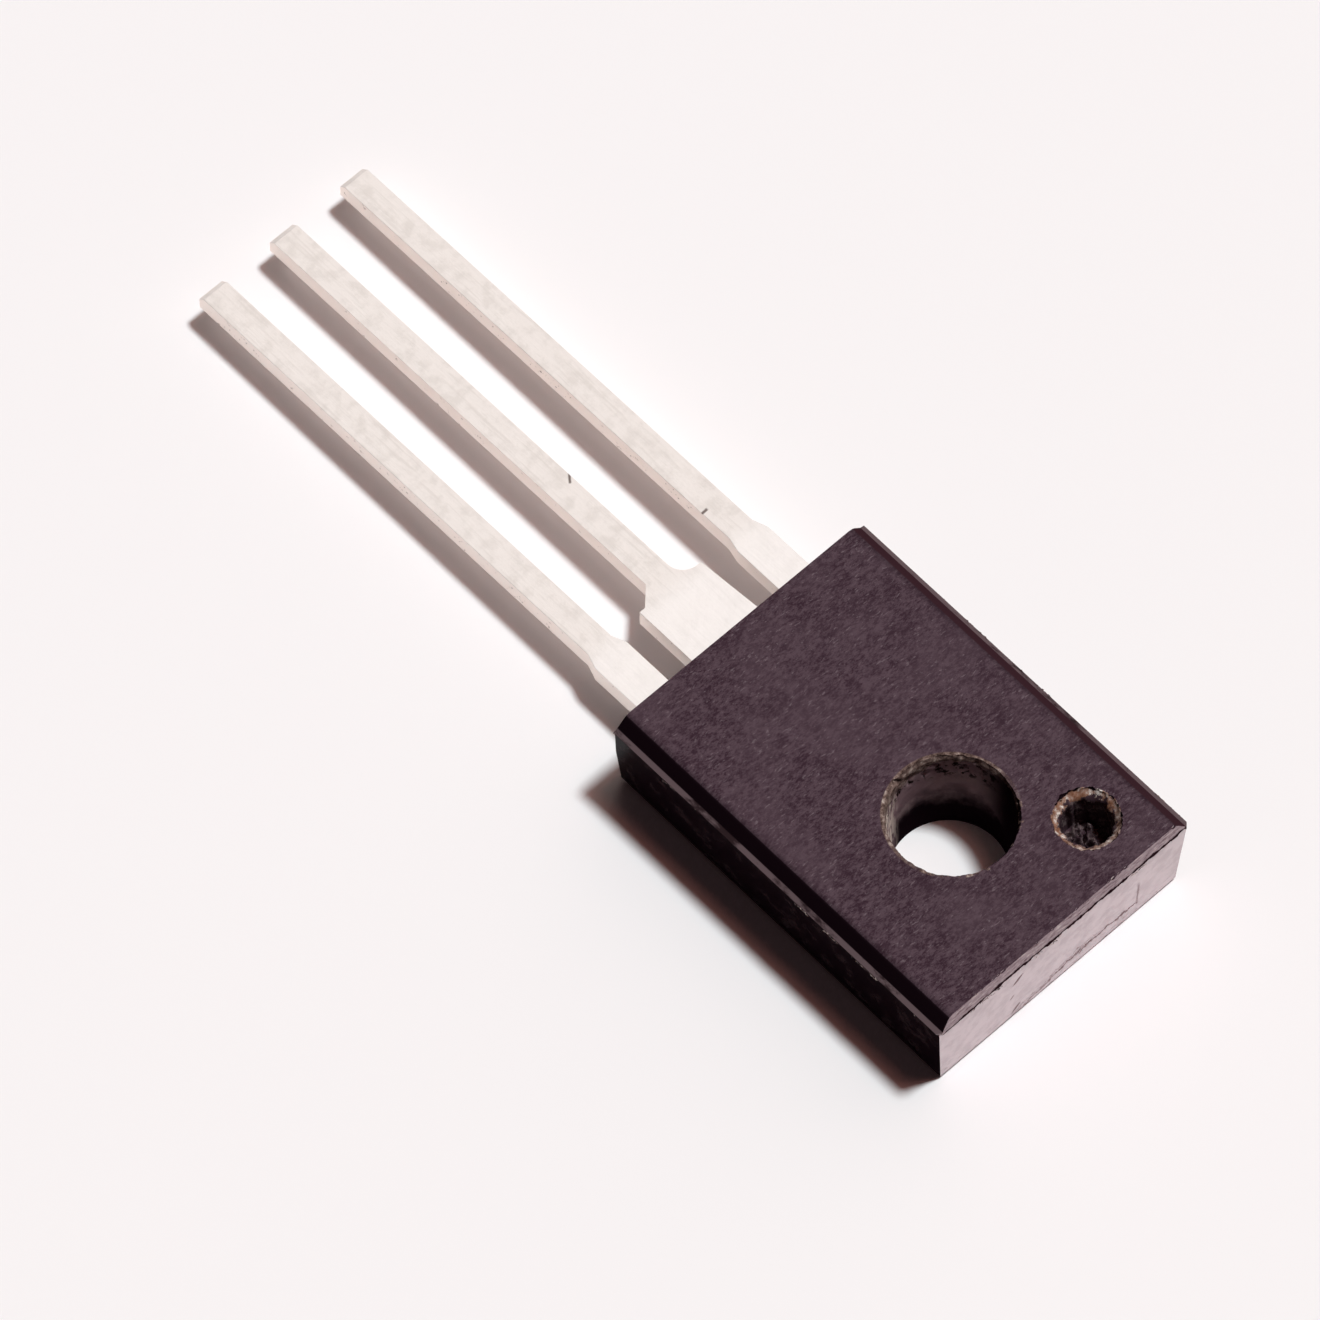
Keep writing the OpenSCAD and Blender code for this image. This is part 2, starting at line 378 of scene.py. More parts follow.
@dataclass(frozen=True)
class MouldedEpoxy:
    """Dark filled epoxy: eroded on the front, smooth on the walls, broken at the rims."""

    front: Colour = (0.041, 0.021, 0.031)
    front_light: Colour = (0.102, 0.066, 0.083)
    # painted glints: the pale speck colour on the front stands in for tiny highlights
    glint_speck: Colour = (0.24, 0.185, 0.21)
    smooth: Colour = (0.007, 0.003, 0.005)
    # painted reflection: the bevel facing -x is paler than the near one, standing in for the
    # bright floor it reflects
    far_bevel_reflection: Colour = (0.034, 0.014, 0.019)
    worn: Colour = (0.026, 0.015, 0.017)
    # lip: mottled parting lip, pale partly as a painted highlight where its ledge faces up towards
    # the lamp
    lip: Colour = (0.115, 0.080, 0.088)
    # end: the hole end's wall colour; on this black epoxy its paleness is partly a painted
    # reflection of the bright floor
    end: Colour = (0.64, 0.485, 0.52)
    end_dark: Colour = (0.50, 0.355, 0.385)
    end_chip: Colour = (0.80, 0.72, 0.68)
    stain: Colour = (0.13, 0.052, 0.052)
    # painted shadow: the dark line under the plate's overhang on the end wall
    seam_shadow: Colour = (0.018, 0.005, 0.008)
    bore: Colour = (0.24, 0.155, 0.175)
    bore_light: Colour = (0.42, 0.31, 0.31)
    # painted highlight: pale golden streaks on the bore wall's lamp side; the streaks follow drawn
    # marks, and their paleness stands in for sheen
    streak_highlight: Colour = (0.95, 0.80, 0.70)
    pit: Colour = (0.014, 0.007, 0.006)
    pin_floor: Colour = (0.055, 0.031, 0.040)
    pin_floor_light: Colour = (0.17, 0.125, 0.13)
    rust: Colour = (0.30, 0.125, 0.065)
    plate_tones: Tones = (
        (0.34, (0.15, 0.080, 0.095)),
        (0.44, (0.31, 0.225, 0.250)),
        (0.56, (0.40, 0.300, 0.325)),
        (0.68, (0.66, 0.560, 0.540)),
    )
    rim_tones: Tones = (
        (0.36, (0.020, 0.010, 0.009)),
        (0.46, (0.11, 0.070, 0.060)),
        (0.56, (0.24, 0.165, 0.145)),
        (0.68, (0.62, 0.52, 0.47)),
    )
    pin_tones: Tones = (
        (0.38, (0.035, 0.017, 0.014)),
        (0.46, (0.20, 0.115, 0.090)),
        (0.54, (0.38, 0.275, 0.245)),
        (0.64, (0.85, 0.78, 0.74)),
    )
    grain_turn: Point = (0.0, 0.0, 0.75)
    bruises: tuple[Point, ...] = ((1.47, 1.92, 0.15), (1.45, 0.38, 0.13), (1.66, 1.12, 0.07))
    relief_depth: float = 0.03
    wall_coat: float = 0.12

    def material(self, case: "MouldedCase") -> bpy.types.Material:
        """Builds the material.

        Args:
            case: the case whose faces tell the finishes apart.

        Returns:
            The material.
        """
        skin = Surface("moulded_epoxy")
        fine = skin.noise(9.0, 6.0, 0.85, skin.stretched((0.7, 1.7, 1.0), self.grain_turn))
        grain = fine * 0.8 + skin.noise(3.2, 3.0, 0.6) * 0.2
        on_front = skin.z.above(case.thickness - 0.06, 0.08) * skin.facing_z.above(0.82, 0.3)
        # the far bevel is picked by the way its faces turn, and gets a painted reflection
        on_far_bevel = skin.facing_x.below(-0.4, 0.2) * skin.facing_z.above(0.3, 0.2)
        rolled = abs(skin.x - case.off_centre).above(case.front_half() - 0.04, 0.34) * 0.7
        walls = skin.mix(self._walls(skin, case), self.far_bevel_reflection, on_far_bevel)
        front = skin.mix(self._front(skin, grain), self.smooth, rolled)
        colour = skin.mix(walls, front, on_front)

        # the faces turned towards +y at the hole end, where the pale colour is partly a painted
        # reflection of the floor
        at_end = skin.facing_y.above(0.55, 0.3) * skin.y.above(case.hole_end - 0.35, 0.1)
        end, shine = self._end(skin, case)
        colour = skin.mix(colour, end, at_end * (1 - on_front))
        in_bore = skin.from_axis((0.0, 0.0)).below(case.bore_radius + 0.10, 0.03) * (1 - on_front)
        colour = skin.mix(colour, self._bore(skin, case), in_bore)
        broken = skin.tone(skin.noise(5.5, 6.0, 0.75), self.rim_tones)
        colour = skin.mix(colour, broken, self._rim_mask(skin, case))
        colour = self._pin(skin, colour, case)

        relief = grain * on_front + skin.noise(3.0, 4.0, 0.6) * 0.25
        on_wall = skin.facing_z.below(0.15, 0.2) * self.wall_coat
        gloss = (at_end * shine).most(on_wall) * (1 - on_front)
        return skin.finish(
            {
                "Base Color": colour,
                "Roughness": 0.8,
                "Specular IOR Level": 0.0,
                "Coat Weight": gloss * (1 - in_bore),
                "Coat Roughness": 0.16,
                "Coat IOR": 1.9,
                "Normal": skin.bump(relief, self.relief_depth),
            }
        )

    def _front(self, skin: Surface, grain: Value) -> bpy.types.NodeSocket:
        """Builds the spark-eroded front, with its cloudy grain and bright specks that are painted
        glints.

        Args:
            skin: the material's graph.
            grain: the grain, about 0.5.

        Returns:
            The colour.
        """
        cloud = skin.noise(0.55, 3.0, 0.5)
        speck = skin.noise(8.0, 2.0, 0.6, skin.stretched((0.7, 2.4, 1.0), self.grain_turn))
        front = skin.mix(self.front, self.front_light, grain.above(0.5, 0.15))
        front = skin.mix(front, self.front_light, cloud.above(0.54, 0.3) * 0.4)
        # painted glints: sparse pale specks stand in for tiny highlights on the front
        return skin.mix(front, self.glint_speck, speck.above(0.66, 0.08) * 0.38)

    def _walls(self, skin: Surface, case: "MouldedCase") -> bpy.types.NodeSocket:
        """Builds the smooth walls, with worn blotches and the mottled parting lip, pale partly as
        a painted highlight on its upward ledge.

        Args:
            skin: the material's graph.
            case: the case.

        Returns:
            The colour.
        """
        worn = skin.noise(1.6, 5.0, 0.7).above(0.58, 0.18) * skin.z.below(case.parting_z, 0.05)
        dull = skin.noise(2.2, 5.0, 0.7, skin.stretched((1.0, 0.35, 1.0)))
        beyond_bevel = case.half_width - case.ledge_width - 0.012
        # the lip's ledge faces that turn upwards, where the paler mottled colour is partly a
        # painted highlight
        on_lip = (
            abs(skin.x - case.off_centre).above(beyond_bevel, 0.012)
            * skin.z.above(case.parting_z - 0.01, 0.01)
            * skin.z.below(case.ledge_z + 0.012, 0.012)
            * skin.facing_z.above(0.25, 0.5)
        )
        wall = skin.mix(self.smooth, self.worn, worn)
        return skin.mix(wall, skin.mix(self.worn, self.lip, dull.above(0.44, 0.14)), on_lip)

    def _end(self, skin: Surface, case: "MouldedCase") -> tuple[bpy.types.NodeSocket, Value]:
        """Builds the wall at the hole end: pale, partly as a painted reflection of the bright
        floor, with a wandering seam line darkened as a painted shadow and a torn skin of flash.

        Args:
            skin: the material's graph.
            case: the case.

        Returns:
            The colour, and how much of the gloss is left.
        """
        along = skin.stretched((1.0, 0.0, 0.0))
        wander = skin.noise(0.9, 5.0, 0.6, along) - 0.5
        seam_width = skin.noise(2.6, 3.0, 0.6, along) - 0.30
        seam_z = skin.z - wander * 0.16 - skin.x.below(3.2, 1.4) * 0.07
        # painted shadow line under the plate's overhang, wandering along the parting line
        seam_shadow = (abs(seam_z - (case.parting_z - 0.01)) - seam_width * 0.22).below(0.0, 0.035)
        plate = seam_z.above(case.parting_z, 0.03)
        grit = skin.noise(6.0, 5.0, 0.7, skin.stretched((0.6, 1.0, 2.5)))
        haze = skin.noise(2.2, 6.0, 0.6).above(0.52, 0.25)
        under_seam = abs(seam_z - case.parting_z + 0.14).below(0.12, 0.1)
        chip = skin.noise(3.2, 5.0, 0.7).above(0.64, 0.04) * under_seam
        stains = self._stains(skin)
        wall = skin.mix(self.end, self.end_dark, haze)
        wall = skin.mix(wall, self.stain, stains)
        wall = skin.mix(wall, self.end_chip, chip * 0.8)
        wall = skin.mix(wall, skin.tone(grit, self.plate_tones), plate)
        return skin.mix(wall, self.seam_shadow, seam_shadow), (1 - plate * 0.8) * (1 - seam_shadow) * (1 - stains)

    def _stains(self, skin: Surface) -> Value:
        """Builds the brown lines on the end wall, where a thin skin of flash tore off.

        Args:
            skin: the material's graph.

        Returns:
            A mask of the torn edge, its echo, its upright part, and a few bruises.
        """
        x, z = skin.x, skin.z
        jag = skin.noise(1.8, 6.0, 0.75, skin.stretched((1.0, 0.0, 1.0))) - 0.5
        level = x.below(0.5, 2.6) * 0.58 + jag * 0.9
        tear = abs(z - level).below(0.045, 0.05) * x.above(-2.5, 0.1)
        echo = abs(z - level - 0.14 - jag * 0.5).below(0.03, 0.04) * x.near(0.2, 1.4, 0.8) * 0.6
        upright = abs(x + 2.47 + jag * 0.35).below(0.035, 0.06) * z.near(1.05, 0.5, 0.4) * 0.6
        streak = skin.noise(3.0, 5.0, 0.7, skin.stretched((1.0, 1.0, 4.0), (0.0, 0.5, 0.0)))
        bruise = streak.above(0.60, 0.08) * z.below(0.45, 0.4) * 0.7
        for spot_x, spot_z, size in self.bruises:
            away_x = x - spot_x
            away_z = (z - spot_z) + away_x * 0.8
            spread = (away_x * away_x + away_z * away_z * 4) ** 0.5
            bruise = bruise.most((spread + jag * 0.5).below(size, 0.06) * 0.8)
        return (tear * 0.8).most(echo).most(upright).most(bruise)

    def _bore(self, skin: Surface, case: "MouldedCase") -> bpy.types.NodeSocket:
        """Builds the screw hole's wall: rough and paler near the rim, darkened deeper down and on
        the side turned from the lamp as painted shade, with pale streaks on the lamp's side.

        Args:
            skin: the material's graph.
            case: the case.

        Returns:
            The colour.
        """
        cloud = skin.noise(1.3, 5.0, 0.65)
        pits = skin.noise(3.6, 5.0, 0.75)
        drawn = skin.noise(7.0, 4.0, 0.7, skin.stretched((1.0, 1.0, 0.15)))
        # the side of the wall turned towards the lamp, which gets the painted highlight streaks
        lamp_side = ((skin.x * 0.82 - skin.y * 0.57) / case.bore_radius).above(0.80, 0.3)
        # painted shade: the side of the wall turned away from the lamp goes black
        painted_unlit_side = ((skin.y - skin.x) / case.bore_radius).above(0.75, 0.9)
        # painted shade: the wall darkens deeper in the hole, except on the lamp's side
        deep = (skin.z + cloud * 1.2 - 0.6).below(1.35, 1.1) * (1 - lamp_side)
        under_rim = skin.z.near(case.thickness - 0.5, 0.35, 0.3)
        wall = skin.mix(self.bore, self.bore_light, cloud.above(0.56, 0.25) * 0.5)
        wall = skin.mix(wall, self.smooth, deep.most(painted_unlit_side))
        wall = skin.mix(wall, self.streak_highlight, drawn.above(0.50, 0.12) * lamp_side * 0.85)
        return skin.mix(wall, self.pit, pits.above(0.55, 0.06) * under_rim)

    @staticmethod
    def _rim_mask(skin: Surface, case: "MouldedCase") -> Value:
        """Finds where the screw hole's rim has broken off.

        Args:
            skin: the material's graph.
            case: the case.

        Returns:
            The mask.
        """
        jag = skin.noise(3.5, 5.0, 0.7) - 0.5
        ring = skin.from_axis((0.0, 0.0)).near(case.bore_radius + 0.05, 0.07, 0.03)
        wider = ((skin.x - skin.y) / case.bore_radius).above(0.5, 0.8) * 0.3
        flecks = skin.noise(2.6, 4.0, 0.7).above(0.56, 0.05)
        share = (-1 * skin.y / case.bore_radius).above(-0.1, 1.5).most(flecks)
        at_top = (skin.z + jag * 0.5 + wider).above(case.thickness - 0.19, 0.06)
        return ring * share * at_top * 0.95

    def _pin(
        self, skin: Surface, around: bpy.types.NodeSocket, case: "MouldedCase"
    ) -> bpy.types.NodeSocket:
        """Builds the pin mark: a rusty, chipped rim round a dark floor.

        Args:
            skin: the material's graph.
            around: the colour outside it.
            case: the case.

        Returns:
            The colour.
        """
        radius = skin.from_axis(case.pin_place)
        jag = skin.noise(3.4, 5.0, 0.75) - 0.5
        deep = skin.z.below(case.thickness - 0.2, 0.2)
        dust = skin.noise(3.5, 5.0, 0.75).above(0.54, 0.12) * deep
        rough = skin.noise(3.0, 6.0, 0.75, skin.stretched((1.0, 1.0, 0.5)))
        rusty = (skin.x * -0.1 - skin.y).above(-2.1, 0.5) * 0.5
        rim = (radius + jag * 0.75).above(case.pin_throat + 0.05, 0.04)
        rim = rim * skin.z.above(case.thickness - 0.28, 0.1)
        floor = skin.mix(self.pin_floor, self.pin_floor_light, dust)
        broken = skin.tone(rough, self.pin_tones)
        broken = skin.mix(broken, self.rust, rusty * rough.below(0.55, 0.1))
        inside = (radius - jag * 0.25).below(case.pin_radius - 0.02, 0.03)
        return skin.mix(around, skin.mix(floor, broken, rim), inside)


@dataclass(frozen=True)
class Nick:
    """A short dark cut in a lead: its place, half its length, and its turn in radians."""

    x: float
    y: float
    half_length: float
    turn: float = 0.0

    def mask(self, skin: Surface, waver: Value) -> Value:
        """Finds the nick on the upper faces.

        Args:
            skin: the material's graph.
            waver: noise about 0.5 that bends the cut.

        Returns:
            The mask.
        """
        away_x, away_y = skin.x - self.x, skin.y - self.y
        along = away_x * math.cos(self.turn) + away_y * math.sin(self.turn)
        across = away_y * math.cos(self.turn) - away_x * math.sin(self.turn) + waver * 0.1 - 0.05
        cut = abs(along).below(self.half_length, 0.06) * abs(across).below(0.03, 0.04)
        return cut * skin.facing_z.above(0.5, 0.3)


@dataclass(frozen=True)
class TinPlate:
    """Matte tin over copper, with the wavy skin and dull patches of a dipped lead."""

    name: str = "tin_plate"
    bright: Colour = (0.81, 0.745, 0.72)
    dull: Colour = (0.66, 0.60, 0.57)
    polished: Colour = (0.93, 0.88, 0.875)
    # the leads' sheared side faces, paler than the tops as painted light standing in for the
    # brightness the lamp gave them
    sheared_side_painted_light: Colour = (0.99, 0.90, 0.84)
    smear: Colour = (0.42, 0.34, 0.30)
    shaded: Colour = (0.45, 0.40, 0.37)
    cut: Colour = (0.12, 0.085, 0.075)
    nicks: tuple[Nick, ...] = (Nick(-1.99, -10.50, 0.11), Nick(-0.33, -13.38, 0.17, 0.8))
    shoulder_y: float = -8.4
    relief_depth: float = 0.03

    def material(self) -> bpy.types.Material:
        """Builds the material.

        Returns:
            The material.
        """
        skin = Surface(self.name)
        wavy = skin.noise(2.4, 5.0, 0.6)
        crystal = skin.noise(14.0, 3.0, 0.6)
        drawn = skin.noise(1.0, 4.0, 0.6, skin.stretched((9.0, 0.5, 9.0)))
        dimple = skin.noise(2.2, 3.0, 0.6)
        smeared = skin.noise(5.0, 5.0, 0.75).above(0.66, 0.06)
        on_side = skin.facing_z.below(0.6, 0.4)
        on_shoulder = skin.y.near(self.shoulder_y, 1.1, 0.8)
        colour = skin.mix(self.bright, self.dull, wavy.above(0.56, 0.25) * 0.6)
        colour = skin.mix(colour, self.dull, drawn.above(0.60, 0.12) * 0.5)
        colour = skin.mix(colour, self.polished, on_shoulder * 0.6)
        # painted light: the side faces are paler than the tops
        colour = skin.mix(colour, self.sheared_side_painted_light, on_side)
        colour = skin.mix(colour, self.shaded, skin.facing_x.below(-0.5, 0.3))
        colour = skin.mix(colour, self.smear, smeared * on_side)
        for nick in self.nicks:
            colour = skin.mix(colour, self.cut, nick.mask(skin, wavy))
        relief = wavy * 0.5 + crystal * 0.15 + drawn * 0.3 + dimple * on_shoulder * 0.25
        return skin.finish(
            {
                "Base Color": colour,
                "Metallic": on_side * 0.75,
                "Roughness": 0.42 + wavy * 0.2 + crystal * 0.08 - on_shoulder * 0.06,
                "Normal": skin.bump(relief, self.relief_depth),
            }
        )


@dataclass(frozen=True)
class PlainMetal:
    """A metal with fine scratches one way, for the pieces inside the case."""

    name: str
    colour: Colour
    rough: float = 0.3
    scratch_depth: float = 0.004

    def material(self) -> bpy.types.Material:
        """Builds the material.

        Returns:
            The material.
        """
        skin = Surface(self.name)
        scratch = skin.noise(1.0, 5.0, 0.65, skin.stretched((12.0, 1.0, 12.0)))
        darker = tuple(0.7 * part for part in self.colour)
        return skin.finish(
            {
                "Base Color": skin.mix(self.colour, darker, scratch.above(0.55, 0.3)),
                "Metallic": 1.0,
                "Roughness": self.rough + scratch * 0.15,
                "Normal": skin.bump(scratch, self.scratch_depth),
            }
        )


@dataclass(frozen=True)
class BrokenSkin:
    """Flakes of epoxy flash or torn tin, plain but mottled."""

    name: str
    light: Colour
    dark: Colour

    def material(self) -> bpy.types.Material:
        """Builds the material.

        Returns:
            The material.
        """
        skin = Surface(self.name)
        mottle = skin.noise(4.0, 4.0, 0.7).above(0.52, 0.2)
        colour = skin.mix(self.dark, self.light, mottle)
        return skin.finish({"Base Color": colour, "Roughness": 0.6, "Specular IOR Level": 0.3})


# --------------------------------------------------------------------- meshes


def link(name: str, mesh: bpy.types.Mesh) -> bpy.types.Object:
    """Makes an object at the origin and puts it in the scene.

    Args:
        name: the object's name.
        mesh: its mesh.

    Returns:
        The object.
    """
    mesh.name = name
    made = bpy.data.objects.new(name, mesh)
    bpy.context.scene.collection.objects.link(made)
    return made


def from_bmesh(name: str, shape: bmesh.types.BMesh, scale: float = MM) -> bpy.types.Object:
    """Turns a bmesh in millimetres into an object in metres, with its faces outwards.

    Args:
        name: the object's name.
        shape: the shape, which is used up.
        scale: the factor to metres.

    Returns:
        The object.
    """
    bmesh.ops.scale(shape, vec=(scale, scale, scale), verts=shape.verts)
    bmesh.ops.recalc_face_normals(shape, faces=shape.faces)
    mesh = bpy.data.meshes.new(name)
    shape.to_mesh(mesh)
    shape.free()
    return link(name, mesh)


def prism(outline: Sequence[tuple[float, float]], low: float, high: float) -> bmesh.types.BMesh:
    """Stands a plan outline up between two heights.

    Args:
        outline: its corners as (x, y), in order.
        low: the lower height.
        high: the upper height.

    Returns:
        The closed shape.
    """
    shape = bmesh.new()
    rings = [[shape.verts.new((x, y, z)) for x, y in outline] for z in (low, high)]
    shape.faces.new(rings[0][::-1])
    shape.faces.new(rings[1])
    for index in range(len(outline)):
        after = (index + 1) % len(outline)
        shape.faces.new((rings[0][index], rings[0][after], rings[1][after], rings[1][index]))
    return shape


def lathe(rings: Sequence[np.ndarray]) -> bmesh.types.BMesh:
    """Joins rings of points, from the lowest to the highest, and closes both ends.

    Args:
        rings: arrays of the same number of points, each (n, 3).

    Returns:
        The closed shape.
    """
    shape = bmesh.new()
    made = [[shape.verts.new(point) for point in ring] for ring in rings]
    count = len(made[0])
    for lower, upper in zip(made, made[1:]):
        for index in range(count):
            after = (index + 1) % count
            shape.faces.new((lower[index], lower[after], upper[after], upper[index]))
    shape.faces.new(made[0][::-1])
    shape.faces.new(made[-1])
    return shape


def settle(made: bpy.types.Object) -> None:
    """Applies an object's modifiers to its mesh.

    Args:
        made: the object.
    """
    graph = bpy.context.evaluated_depsgraph_get()
    mesh = bpy.data.meshes.new_from_object(made.evaluated_get(graph))
    made.modifiers.clear()
    old = made.data
    made.data = mesh
    mesh.name = made.name
    bpy.data.meshes.remove(old)


def soften(made: bpy.types.Object, width: float, angle: float = 25.0) -> None:
    """Rounds an object's edges.

    Args:
        made: the object.
        width: the bevel's width in millimetres.
        angle: edges sharper than this are rounded, in degrees.
    """
    bevel = made.modifiers.new("edges", "BEVEL")
    bevel.width = width * MM
    bevel.segments = 3
    bevel.limit_method = "ANGLE"
    bevel.angle_limit = math.radians(angle)
    settle(made)


def carve(
    made: bpy.types.Object, cutters: Iterable[bpy.types.Object], way: Cut = Cut.TAKE_OUT
) -> None:
    """Cuts an object with solids and deletes them.

    Args:
        made: the object.
        cutters: the solids.
        way: what the cut leaves.
    """
    for cutter in cutters:
        cut = made.modifiers.new("cut", "BOOLEAN")
        cut.operation = way.value
        cut.solver = "MANIFOLD"
        cut.object = cutter
        settle(made)
        bpy.data.objects.remove(cutter)


def smooth(made: bpy.types.Object, angle: float = 30.0) -> None:
    """Shades an object smooth, apart from its sharp edges, and keeps its large faces flat.

    Args:
        made: the object.
        angle: an edge above this stays sharp, in degrees.
    """
    made.data.shade_smooth()
    made.data.set_sharp_from_angle(angle=math.radians(angle))
    flat = made.modifiers.new("flat", "WEIGHTED_NORMAL")
    flat.mode = "FACE_AREA"
    flat.weight = 100
    flat.keep_sharp = True
    settle(made)


def dress(made: bpy.types.Object, material: bpy.types.Material) -> None:
    """Gives a piece its material and slot, and lets it ride on the part.

    Args:
        made: the piece.
        material: its material.
    """
    made.data.materials.clear()
    made.data.materials.append(material)
    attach(made, "root")
    LOG.info("%s: %d faces", made.name, len(made.data.polygons))


def copy_of_node(node: str, name: str) -> bpy.types.Object:
    """Copies a CAD node's mesh with its loose triangles joined into whole faces.

    Args:
        node: the CAD node.
        name: the copy's name.

    Returns:
        The copy.
    """
    shape = bmesh.new()
    shape.from_mesh(bpy.data.objects[node].data)
    bmesh.ops.remove_doubles(shape, verts=shape.verts, dist=0.0005 * MM)
    bmesh.ops.dissolve_limit(
        shape, angle_limit=math.radians(1.0), verts=shape.verts, edges=shape.edges
    )
    return from_bmesh(name, shape, 1.0)


# ---------------------------------------------------------------- moulded case


@dataclass(frozen=True)
class WornEdge:
    """An edge that has lost chips: its ends, the chips' number and the largest one's radius."""

    start: Point
    stop: Point
    count: int
    largest: float
    longer: float = 1.9

    def chips(self, draw: np.random.Generator) -> list[bpy.types.Object]:
        """Builds the small solids that broke out, drawn out along the edge.

        Args:
            draw: the source of their places and sizes.

        Returns:
            The cutters.
        """
        across = self.stop[0] - self.start[0] > 1.0
        made = []
        for share in np.sort(draw.uniform(0.02, 0.98, self.count)):
            centre = Vector(self.start).lerp(Vector(self.stop), float(share))
            size = self.largest * (0.35 + 0.65 * float(draw.uniform()) ** 2)
            shape = bmesh.new()
            bmesh.ops.create_icosphere(shape, subdivisions=2, radius=size)
            for vert in shape.verts:
                push = noise.noise(vert.co * (1.3 / size) + centre * 5.0)
                vert.co *= 1.0 + 0.45 * push
                vert.co.x *= self.longer if across else 1.0
                vert.co.y *= 1.0 if across else self.longer
                vert.co += centre
            made.append(from_bmesh("chip", shape))
        return made


@dataclass
class MouldedCase:
    """The moulded case, with the broken rims and worn edges of a well handled part.

    rolled_edge gives the points of the front plate's rounded edge, each as how far it stands out
    from the flat front and how far it lies below it. pin_profile gives the pin mark's rim in the
    same way, from its throat outwards.
    """

    half_width: float = 4.05
    off_centre: float = 0.05
    hole_end: float = 3.85
    lead_end: float = 7.20
    lead_top: float = 1.40
    thickness: float = 2.95
    parting_z: float = 2.53
    ledge_z: float = 2.61
    ledge_width: float = 0.12
    bevel_width: float = 0.27
    overhang: float = 0.05
    side_draft: float = 0.18
    end_draft: float = 0.08
    plate_end_draft: float = 0.09
    back_edge: float = 0.10
    mould_radius: float = 0.05
    corner_cut: float = 0.12
    rolled_edge: Outline = ((0.07, 0.10), (-0.01, 0.03), (-0.13, 0.0))
    bore_radius: float = 1.55
    bore_taper: float = 0.11
    rim_chamfer: float = 0.075
    pit_depth: float = 0.16
    pitted_to: float = 0.95
    pin_place: tuple[float, float] = (-2.22, 2.22)
    pin_radius: float = 0.83
    pin_throat: float = 0.62
    pin_floor: float = 1.60
    pin_lumps: float = 0.5
    pin_jag: float = 0.075
    pin_profile: Outline = (
        (0.0, 0.95),
        (0.0, 0.55),
        (0.0, 0.34),
        (0.01, 0.24),
        (0.06, 0.17),
        (0.11, 0.12),
        (0.15, 0.08),
        (0.18, 0.04),
        (0.20, 0.005),
        (0.22, -0.05),
    )
    chip_seed: int = 7
    strips: tuple[str, ...] = ("collector_tab", "base_lead", "emitter_lead")
    finish: MouldedEpoxy = field(default_factory=MouldedEpoxy)

    def front_half(self) -> float:
        """Returns half the width of the flat front between its bevels."""
        return self.half_width - self.ledge_width - self.bevel_width

    def mirrored(self, right: Sequence[tuple[float, float]]) -> list[tuple[float, float]]:
        """Returns an outline's right half with its mirror image, about the moulding's middle."""
        both = [*right, *((-across, along) for across, along in reversed(right))]
        return [(across + self.off_centre, along) for across, along in both]

    def section(self) -> list[tuple[float, float]]:
        """Draws the outline across the case.

        Returns:
            Its corners as (x, z), anticlockwise from the back.
        """
        wide, foot = self.half_width, self.half_width - self.overhang - self.side_draft
        flat = self.front_half()
        return self.mirrored(
            [
                (foot - self.back_edge, 0.0),
                (foot, self.back_edge),
                (wide - self.overhang, self.parting_z),
                (wide, self.parting_z),
                (wide, (self.parting_z + self.ledge_z) / 2),
                (wide - self.ledge_width, self.ledge_z),
                *((flat + out, self.thickness - down) for out, down in self.rolled_edge),
            ]
        )

    def plan(self) -> list[tuple[float, float]]:
        """Draws a plan outline that only cuts the two corners at the hole end.

        Returns:
            Its corners as (x, y), anticlockwise.
        """
        wide, end = self.half_width + 1.0, self.hole_end + 1.0
        cut = self.corner_cut + 2.0
        return self.mirrored([(wide, -2 * self.lead_end), (wide, end - cut), (wide - cut, end)])

    def side(self) -> list[tuple[float, float]]:
        """Draws the outline along the case.

        Returns:
            Its corners as (y, z), up the hole end and down the lead end.
        """
        foot = self.hole_end - self.overhang - self.end_draft
        lead = -self.lead_end + self.end_draft
        return [
            (foot - self.back_edge, 0.0),
            (foot, self.back_edge),
            (foot + self.end_draft, self.parting_z),
            (self.hole_end, self.parting_z),
            (self.hole_end - self.plate_end_draft, self.thickness),
            (lead, self.thickness),
            (-self.lead_end, self.lead_top),
            (lead, self.back_edge),
            (lead + self.back_edge, 0.0),
        ]

    def shell(self) -> bpy.types.Object:
        """Builds the outer form with its small mould radii, without holes.

        Returns:
            The shell.
        """
        block = prism(self.section(), -2 * self.lead_end, 2 * self.lead_end)
        bmesh.ops.rotate(block, matrix=Matrix.Rotation(math.pi / 2, 3, "X"), verts=block.verts)
        made = from_bmesh("moulded_case", block)
        length = prism(self.side(), -2 * self.half_width, 2 * self.half_width)
        turn = Matrix(((0, 0, 1), (1, 0, 0), (0, 1, 0)))
        bmesh.ops.transform(length, matrix=turn.to_4x4(), verts=length.verts)
        plan = prism(self.plan(), -1.0, 2 * self.thickness)
        forms = (from_bmesh("length_section", length), from_bmesh("plan", plan))
        carve(made, forms, Cut.KEEP_INSIDE)
        soften(made, self.mould_radius)
        return made

